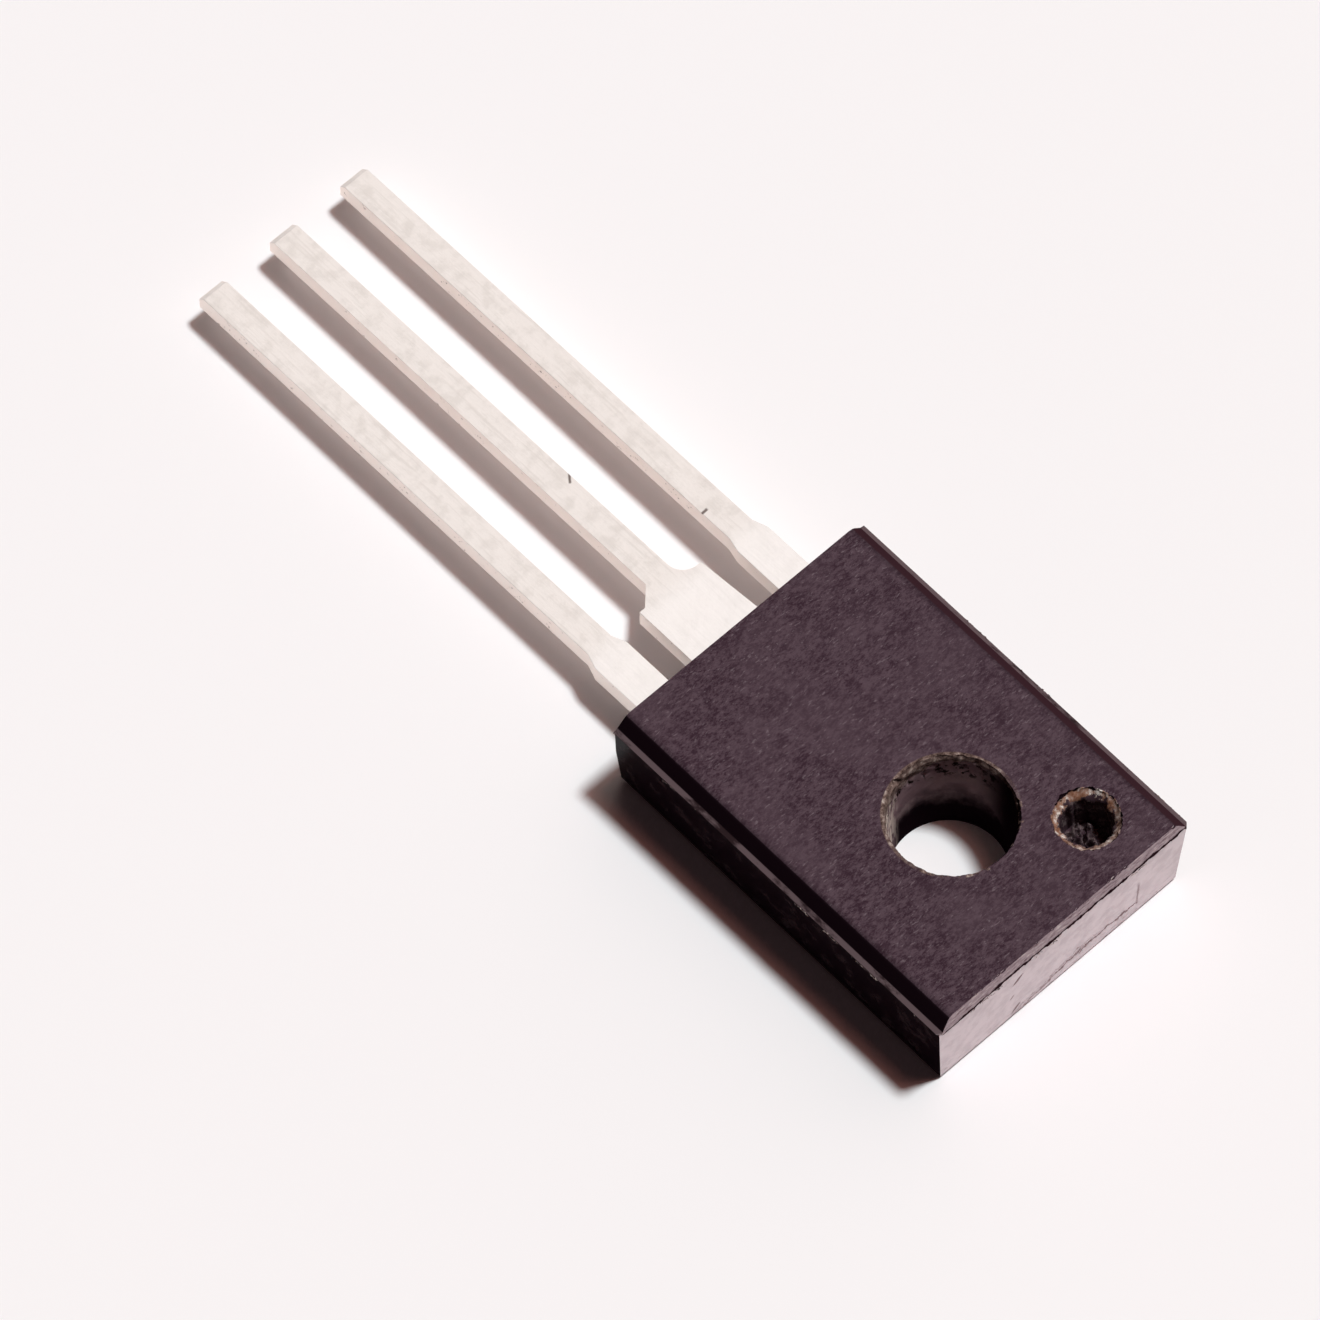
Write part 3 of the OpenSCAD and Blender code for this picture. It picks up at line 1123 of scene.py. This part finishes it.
    def bore_cutter(self) -> bpy.types.Object:
        """Builds the solid of the screw hole, with a broken rim and pits in its wall.

        Returns:
            The cutter.
        """
        angles = np.linspace(0, 2 * math.pi, 288, endpoint=False)
        smooth_part = [self.thickness + 0.5, 1.1]
        broken_part = [*np.arange(1.0, 0.24, -0.05), *np.arange(0.21, 0.0, -0.03), -0.04]
        depths = smooth_part + broken_part
        rings = [self._bore_ring(angles, self.thickness - depth) for depth in depths]
        return from_bmesh("bore_cutter", lathe(rings))

    def _bore_ring(self, angles: np.ndarray, height: float) -> np.ndarray:
        """Builds one ring of the screw hole's cutter.

        Args:
            angles: the angles of its points.
            height: its height.

        Returns:
            The points.
        """
        depth = self.thickness - height
        chamfer = max(0.0, self.rim_chamfer - 0.55 * max(0.0, depth))
        drawn_in = self.bore_taper * max(0.0, depth) / self.thickness
        in_pits = min(1.0, max(0.0, (self.pitted_to - depth) / 0.3))
        ring = []
        for angle in angles:
            away = Vector((math.cos(angle), math.sin(angle), 0))
            spot = away * self.bore_radius
            jag = noise.fractal(spot * 2.2 + Vector((0, 0, height * 2.2)), 0.6, 2.1, 5)
            pit = max(0.0, noise.noise(spot * 4.5 + Vector((7.1, 3.0, height * 4.5))) - 0.22)
            radius = self.bore_radius - drawn_in + chamfer * (0.75 + 0.55 * jag)
            radius += self.pit_depth * pit * in_pits
            ring.append((away.x * radius, away.y * radius, height))
        return np.array(ring)

    def pin_cutter(self) -> bpy.types.Object:
        """Builds the solid of the pin mark, with a chipped rim and a lumpy floor.

        Returns:
            The cutter.
        """
        angles = np.linspace(0, 2 * math.pi, 144, endpoint=False)
        rings = [
            self._pin_ring(angles, self.pin_throat * share, self.pin_floor, 0.0, self.pin_lumps)
            for share in (0.03, *np.arange(0.1, 0.96, 0.07))
        ]
        rings += [
            self._pin_ring(angles, self.pin_throat + out, self.thickness - down, self.pin_jag, 0.0)
            for out, down in self.pin_profile
        ]
        return from_bmesh("pin_cutter", lathe(rings))

    def _pin_ring(
        self, angles: np.ndarray, radius: float, height: float, jagged: float, lumps: float
    ) -> np.ndarray:
        """Builds one ring of the pin mark's cutter.

        Args:
            angles: the angles of its points.
            radius: the ring's radius.
            height: its height.
            jagged: how far the ring wanders from its radius.
            lumps: how high its points stand over that height.

        Returns:
            The points.
        """
        ring = []
        for angle in angles:
            away = Vector((math.cos(angle), math.sin(angle), 0))
            jag = noise.fractal(away * 2.4 + Vector((2.0, 5.0, height * 2.4)), 0.6, 2.1, 5)
            lump = noise.fractal(away * radius * 4 + Vector((1.0, 7.0, 3.0)), 0.8, 2.0, 3)
            x = self.pin_place[0] + away.x * (radius + jagged * jag)
            y = self.pin_place[1] + away.y * (radius + jagged * jag)
            ring.append((x, y, height + lumps * abs(lump)))
        return np.array(ring)

    def worn_edges(self) -> list[WornEdge]:
        """Lists the edges that have lost chips.

        Returns:
            The edges across the case, then those along it.
        """
        top, lip, foot = self.thickness, self.parting_z, 0.03
        wide, side = self.half_width - self.ledge_width, self.half_width - self.overhang
        side -= self.side_draft
        end, near_leads = self.hole_end, 0.3 - self.lead_end
        right, left = self.off_centre + self.half_width, self.off_centre - self.half_width
        across = (
            (wide - 0.2, end - 0.09, top, 16, 0.05),
            (wide, end, lip, 26, 0.07),
            (side, end - 0.13, foot, 22, 0.075),
        )
        along = (
            (right, end - 0.15, lip, 14, 0.04),
            (left, end - 0.15, lip, 22, 0.05),
            (side, end - 0.35, foot, 14, 0.06),
            (-side, end - 0.35, foot, 14, 0.06),
        )
        edges = [
            WornEdge((-half, y, z), (half, y, z), count, largest)
            for half, y, z, count, largest in across
        ]
        edges += [
            WornEdge((x, near_leads, z), (x, stop, z), count, largest)
            for x, stop, z, count, largest in along
        ]
        return edges

    def build(self) -> None:
        """Builds the case and dresses it."""
        made = self.shell()
        draw = np.random.default_rng(self.chip_seed)
        cutters = [copy_of_node(node, "pocket") for node in self.strips]
        cutters += [self.bore_cutter(), self.pin_cutter()]
        for edge in self.worn_edges():
            cutters += edge.chips(draw)
        carve(made, cutters)
        smooth(made)
        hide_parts("epoxy_case")
        dress(made, self.finish.material(self))


# ----------------------------------------------------------------------- leads


@dataclass
class TinnedLeads:
    """The three tinned leads, with rolled edges."""

    edge: float = 0.035
    strips: tuple[tuple[str, str], ...] = (
        ("collector_tab", "collector_strip"),
        ("base_lead", "base_strip"),
        ("emitter_lead", "emitter_strip"),
    )
    finish: TinPlate = field(default_factory=TinPlate)

    def build(self) -> None:
        """Builds the leads and dresses them."""
        material = self.finish.material()
        for node, name in self.strips:
            strip = copy_of_node(node, name)
            soften(strip, self.edge)
            smooth(strip, 40.0)
            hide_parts(node)
            dress(strip, material)


@dataclass
class InnerPieces:
    """What the case holds: the chip, its solder and the bond wires."""

    silicon: PlainMetal = PlainMetal("silicon", (0.30, 0.32, 0.36), 0.12)
    solder: PlainMetal = PlainMetal("solder", (0.60, 0.60, 0.61), 0.4)
    aluminium: PlainMetal = PlainMetal("bond_aluminium", (0.85, 0.85, 0.86), 0.25)

    def build(self, nodes: dict[str, bpy.types.Object]) -> None:
        """Gives each CAD node its metal.

        Args:
            nodes: the CAD nodes by name.
        """
        for metal, names in (
            (self.silicon, ("silicon_die",)),
            (self.solder, ("die_solder",)),
            (self.aluminium, ("base_wire", "emitter_wire")),
        ):
            material = metal.material()
            for name in names:
                nodes[name].data.materials.clear()
                nodes[name].data.materials.append(material)
                LOG.info("%s: %s", name, metal.name)


# ---------------------------------------------------------------------- flakes


class FlakeGraph(Graph):
    """The geometry nodes that strew flakes along a path."""

    inputs = {
        "Geometry": "Geometry",
        "Count": "Int",
        "Spread": "Vector",
        "Size": "Vector",
        "Turn": "Vector",
        "Cover": "Float",
        "Seed": "Int",
        "Material": "Material",
    }

    def __init__(self) -> None:
        """Makes the tree with its named inputs."""
        tree = bpy.data.node_groups.new("strew_flakes", "GeometryNodeTree")
        tree.is_modifier = True
        tree.interface.new_socket("Geometry", in_out="OUTPUT", socket_type="NodeSocketGeometry")
        for name, kind in self.inputs.items():
            tree.interface.new_socket(name, in_out="INPUT", socket_type=f"NodeSocket{kind}")
        super().__init__(tree)
        self.given = self.node("NodeGroupInput").outputs

    def chance(self, low: Feed, high: Feed, shift: int) -> bpy.types.NodeSocket:
        """Adds a random value for each point.

        Args:
            low: the least value, a number or a vector.
            high: the greatest value.
            shift: what is added to the seed.

        Returns:
            The value.
        """
        kind = {"data_type": "FLOAT" if isinstance(low, float) else "FLOAT_VECTOR"}
        seed = Value(self, self.given["Seed"]) + shift
        inputs = {"Min": low, "Max": high, "Seed": seed}
        return self.exit(self.node("FunctionNodeRandomValue", kind, inputs))

    def scaled(self, vector: bpy.types.NodeSocket, by: Feed) -> bpy.types.NodeSocket:
        """Returns a vector scaled by a number."""
        inputs = {"Vector": vector, "Scale": by}
        return self.exit(self.node("ShaderNodeVectorMath", {"operation": "SCALE"}, inputs))

    def times(self, vector: bpy.types.NodeSocket, by: Feed) -> bpy.types.NodeSocket:
        """Returns a vector multiplied by another, part by part."""
        inputs = {"Vector": vector, "Vector_001": by}
        return self.exit(self.node("ShaderNodeVectorMath", {"operation": "MULTIPLY"}, inputs))

    def places(self) -> bpy.types.NodeSocket:
        """Spreads points round the path and leaves bare patches.

        Returns:
            The points.
        """
        given = self.given
        curve = self.node("GeometryNodeMeshToCurve", None, {"Mesh": given["Geometry"]})
        inputs = {"Curve": curve.outputs[0], "Count": given["Count"]}
        points = self.node("GeometryNodeResampleCurve", None, inputs)
        around = self.times(given["Spread"], self.chance((-1, -1, -1), (1, 1, 1), 0))
        inputs = {"Geometry": points.outputs[0], "Offset": around}
        moved = self.node("GeometryNodeSetPosition", None, inputs)
        place = self.scaled(self.node("GeometryNodeInputPosition").outputs[0], 1 / MM)
        inputs = {"Vector": place, "Scale": 0.9, "Detail": 3.0}
        patches = self.node("ShaderNodeTexNoise", None, inputs)
        settings = {"data_type": "FLOAT", "operation": "GREATER_THAN"}
        inputs = {"A": patches.outputs[0], "B": given["Cover"]}
        bare = self.exit(self.node("FunctionNodeCompare", settings, inputs))
        inputs = {"Geometry": moved.outputs[0], "Selection": bare}
        kept = self.node("GeometryNodeDeleteGeometry", {"domain": "POINT"}, inputs)
        return kept.outputs[0]

    def build(self) -> bpy.types.NodeTree:
        """Builds the tree.

        Returns:
            The node tree.
        """
        given = self.given
        flake = self.node("GeometryNodeMeshIcoSphere", None, {"Radius": 1.0, "Subdivisions": 1})
        size = self.scaled(given["Size"], self.chance(0.25, 1.0, 1))
        size = self.times(size, self.chance((0.5, 0.5, 0.5), (1, 1, 1), 2))
        turn = self.times(given["Turn"], self.chance((-1, -1, -1), (1, 1, 1), 3))
        inputs = {"Points": self.places(), "Instance": flake.outputs[0]}
        inputs |= {"Rotation": turn, "Scale": size}
        strewn = self.node("GeometryNodeInstanceOnPoints", None, inputs)
        inputs = {"Geometry": strewn.outputs[0]}
        real = self.node("GeometryNodeRealizeInstances", None, inputs)
        inputs = {"Geometry": real.outputs[0], "Material": given["Material"]}
        dressed = self.node("GeometryNodeSetMaterial", None, inputs)
        self.node("NodeGroupOutput", None, {"Geometry": dressed.outputs[0]})
        return self.tree


@dataclass
class Flakes:
    """Burrs or flash strewn along a path, all lengths in millimetres."""

    name: str
    path: Sequence[Point]
    count: int
    size: Point
    spread: Point
    slot: str
    cover: float = 0.5
    turn: Point = (1.5, 1.5, 1.5)
    seed: int = 1

    def build(self, tree: bpy.types.NodeTree, material: bpy.types.Material) -> None:
        """Builds the flakes and dresses them.

        Args:
            tree: the geometry nodes that strew them.
            material: the flakes' material.
        """
        mesh = bpy.data.meshes.new(self.name)
        edges = [(index, index + 1) for index in range(len(self.path) - 1)]
        mesh.from_pydata([Vector(point) * MM for point in self.path], edges, [])
        made = link(self.name, mesh)
        strew = made.modifiers.new("strew", "NODES")
        strew.node_group = tree
        values = {
            "Count": self.count,
            "Spread": [part * MM for part in self.spread],
            "Size": [part * MM for part in self.size],
            "Turn": list(self.turn),
            "Cover": self.cover,
            "Seed": self.seed,
            "Material": material,
        }
        for socket in tree.interface.items_tree:
            if socket.in_out == "INPUT" and socket.name in values:
                strew[socket.identifier] = values[socket.name]
        settle(made)
        dress(made, material)


@dataclass
class Burrs:
    """All the flash left on the case and the burrs left on the leads."""

    case: MouldedCase
    tip_y: float = -23.2
    droop: float = 0.25
    pitch: float = 2.29
    lead_half: float = 0.375
    below_top: float = 0.28
    shoulder_end: float = -9.9
    proud: float = 0.003
    scraped_from: float = -62.0
    scraped_to: float = -8.0
    scraped_z: float = 1.1
    seed: int = 11
    epoxy: BrokenSkin = BrokenSkin("epoxy_flash", (0.50, 0.40, 0.37), (0.05, 0.03, 0.03))
    torn_tin: BrokenSkin = BrokenSkin("torn_tin", (0.75, 0.66, 0.60), (0.20, 0.14, 0.12))

    def lead_height(self, y: float, base: float) -> float:
        """Returns a lead's height at y, given its height at the case."""
        end = -self.case.lead_end
        return base - self.droop * max(0.0, end - y) / (end - self.tip_y)

    def on_lip(self, side: Side) -> Flakes:
        """Lays out the flash along one long side's parting line.

        Args:
            side: the long side.

        Returns:
            The strip of flash.
        """
        case = self.case
        x = side.value * (case.half_width + self.proud) + case.off_centre
        return Flakes(
            name=f"lip_flash_{side.name.lower()}",
            path=[(x, y, case.parting_z) for y in (0.1 - case.lead_end, case.hole_end - 0.1)],
            count=420,
            size=(0.02, 0.055, 0.03),
            spread=(0.006, 0.0, 0.03),
            slot="epoxy",
            cover=0.5,
            turn=(0.4, 0.4, 0.4),
            seed=self.seed + int(side.value),
        )

    def in_bore(self) -> Flakes:
        """Lays out the scraped plastic on the screw hole's wall.

        Returns:
            The strip of flash.
        """
        reach = self.case.bore_radius - 0.01
        angles = np.radians(np.linspace(self.scraped_from, self.scraped_to, 12))
        return Flakes(
            name="bore_flash",
            path=[(reach * math.cos(at), reach * math.sin(at), self.scraped_z) for at in angles],
            count=110,
            size=(0.018, 0.018, 0.26),
            spread=(0.008, 0.008, 0.7),
            slot="epoxy",
            cover=0.6,
            turn=(0.2, 0.2, 0.3),
            seed=self.seed,
        )

    def on_end(self) -> Flakes:
        """Lays out the flash along the hole end's seam.

        Returns:
            The strip of flash.
        """
        y, z = self.case.hole_end + self.proud, self.case.parting_z - 0.03
        return Flakes(
            name="end_flash",
            path=((-3.8, y, z), (3.8, y, z)),
            count=240,
            size=(0.06, 0.012, 0.025),
            spread=(0.0, 0.005, 0.05),
            slot="epoxy",
            cover=0.47,
            turn=(0.3, 0.4, 0.3),
            seed=self.seed + 4,
        )

    def on_lead(self, index: int, name: str) -> Flakes:
        """Lays out the burrs along one lead's sheared edge.

        Args:
            index: the lead's place, from the emitter side.
            name: the lead's name.

        Returns:
            The strip of burrs.
        """
        x = (index - 1) * self.pitch + self.lead_half
        base = self.case.lead_top - self.below_top
        ends = (self.tip_y + 0.3, self.shoulder_end)
        return Flakes(
            name=f"{name}_burrs",
            path=[(x, y, self.lead_height(y, base)) for y in ends],
            count=150,
            size=(0.012, 0.05, 0.03),
            spread=(0.006, 0.0, 0.2),
            slot="tinned_copper",
            cover=0.43,
            turn=(0.4, 0.4, 0.4),
            seed=self.seed + index,
        )

    def build(self) -> None:
        """Builds every strip of flakes."""
        tree = FlakeGraph().build()
        flash = [*(self.on_lip(side) for side in Side), self.in_bore(), self.on_end()]
        burrs = [self.on_lead(*lead) for lead in enumerate(("emitter", "collector", "base"))]
        for skin, strips in ((self.epoxy, flash), (self.torn_tin, burrs)):
            material = skin.material()
            for flakes in strips:
                flakes.build(tree, material)


# ----------------------------------------------------------------------- stage


@dataclass(frozen=True)
class ViewPoint:
    """Where the camera stands, from angles and the picture point of the part's origin."""

    azimuth: float = 136.7492
    elevation: float = 61.1939
    distance: float = 289.94
    focal: float = 12364.3
    picture: float = 1320.0
    origin: tuple[float, float] = (949.39, 874.24)
    sensor: float = 36.0

    def build(self) -> None:
        """Places the camera."""
        turn, tilt = math.radians(self.azimuth), math.radians(self.elevation)
        ahead = Vector(
            (-math.sin(turn) * math.cos(tilt), math.cos(turn) * math.cos(tilt), -math.sin(tilt))
        )
        right = Vector((math.cos(turn), math.sin(turn), 0.0))
        up = right.cross(ahead)
        half = self.picture / 2
        across = (self.origin[0] - half) / self.focal * self.distance
        down = (self.origin[1] - half) / self.focal * self.distance
        camera = bpy.data.objects.new("camera", bpy.data.cameras.new("camera"))
        bpy.context.scene.collection.objects.link(camera)
        camera.data.sensor_width = self.sensor
        camera.data.lens = self.focal / self.picture * self.sensor
        camera.data.clip_start = 0.01
        camera.data.clip_end = 20.0
        place = -(right * across - up * down + ahead * self.distance) * MM
        frame = Matrix((right, up, -ahead)).transposed().to_4x4()
        camera.matrix_world = Matrix.Translation(place) @ frame
        bpy.context.scene.camera = camera


@dataclass(frozen=True)
class Lamp:
    """A far lamp: the way to it, how wide it looks in degrees, its level and its colour."""

    name: str
    way: Point
    spread: float
    level: float
    colour: Colour

    def build(self) -> None:
        """Hangs the lamp."""
        data = bpy.data.lights.new(self.name, "SUN")
        data.angle = math.radians(self.spread)
        data.energy = self.level
        data.color = self.colour
        lamp = bpy.data.objects.new(self.name, data)
        bpy.context.scene.collection.objects.link(lamp)
        lamp.rotation_mode = "QUATERNION"
        lamp.rotation_quaternion = Vector(self.way).to_track_quat("Z", "Y")


@dataclass(frozen=True)
class Studio:
    """A pale floor under one soft lamp with a warm halo, and a weak warm fill."""

    floor_size: float = 4.0
    floor_colour: Colour = (0.916, 0.888, 0.912)
    floor_gap: float = 0.002
    lamps: tuple[Lamp, ...] = (
        Lamp("lamp", (-0.303, 0.15, 1.0), 8.0, 2.75, (0.862, 1.0, 1.0)),
        Lamp("halo", (-0.275, 0.15, 1.0), 20.0, 0.57, (1.0, 0.42, 0.34)),
        Lamp("fill", (-0.75, -0.1, 0.66), 70.0, 0.60, (1.0, 0.80, 0.70)),
    )
    room: Colour = (0.020, 0.011, 0.011)
    backdrop: Colour = (0.93, 0.89, 0.905)

    def build(self) -> None:
        """Builds the floor, the lamps and the room."""
        self._floor()
        for lamp in self.lamps:
            lamp.build()
        self._room()
        bpy.context.scene.view_settings.view_transform = "Standard"

    def _floor(self) -> None:
        """Lays the floor just under the part."""
        shape = bmesh.new()
        bmesh.ops.create_grid(shape, x_segments=1, y_segments=1, size=self.floor_size / 2)
        floor = from_bmesh("floor", shape, 1.0)
        floor.data.transform(Matrix.Translation((0, 0, -self.floor_gap * MM)))
        surface = Surface("floor")
        paper = surface.node("ShaderNodeBsdfDiffuse", None, {"Color": self.floor_colour})
        surface.node("ShaderNodeOutputMaterial", None, {"Surface": paper.outputs[0]})
        floor.data.materials.append(surface.material)

    def _room(self) -> None:
        """Darkens the room, apart from a pale backdrop for the camera, metal and glass."""
        world = bpy.data.worlds.new("room")
        bpy.context.scene.world = world
        world.use_nodes = True
        graph = Graph(world.node_tree)
        rays = graph.node("ShaderNodeLightPath").outputs
        camera, glossy, through = (
            Value(graph, rays[f"Is {kind} Ray"]) for kind in ("Camera", "Glossy", "Transmission")
        )
        seen = camera.most(glossy).most(through)
        colour = graph.mix(self.room, self.backdrop, seen)
        light = graph.node("ShaderNodeBackground", None, {"Color": colour, "Strength": 1.0})
        graph.node("ShaderNodeOutputWorld", None, {"Surface": light.outputs[0]})


def main() -> None:
    """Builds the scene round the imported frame."""
    logging.basicConfig(level=logging.INFO, format="%(message)s")
    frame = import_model()
    ViewPoint().build()
    Studio().build()
    case = MouldedCase()
    case.build()
    TinnedLeads().build()
    Burrs(case).build()
    InnerPieces().build(frame["nodes"])


if __name__ == "__main__":
    main()
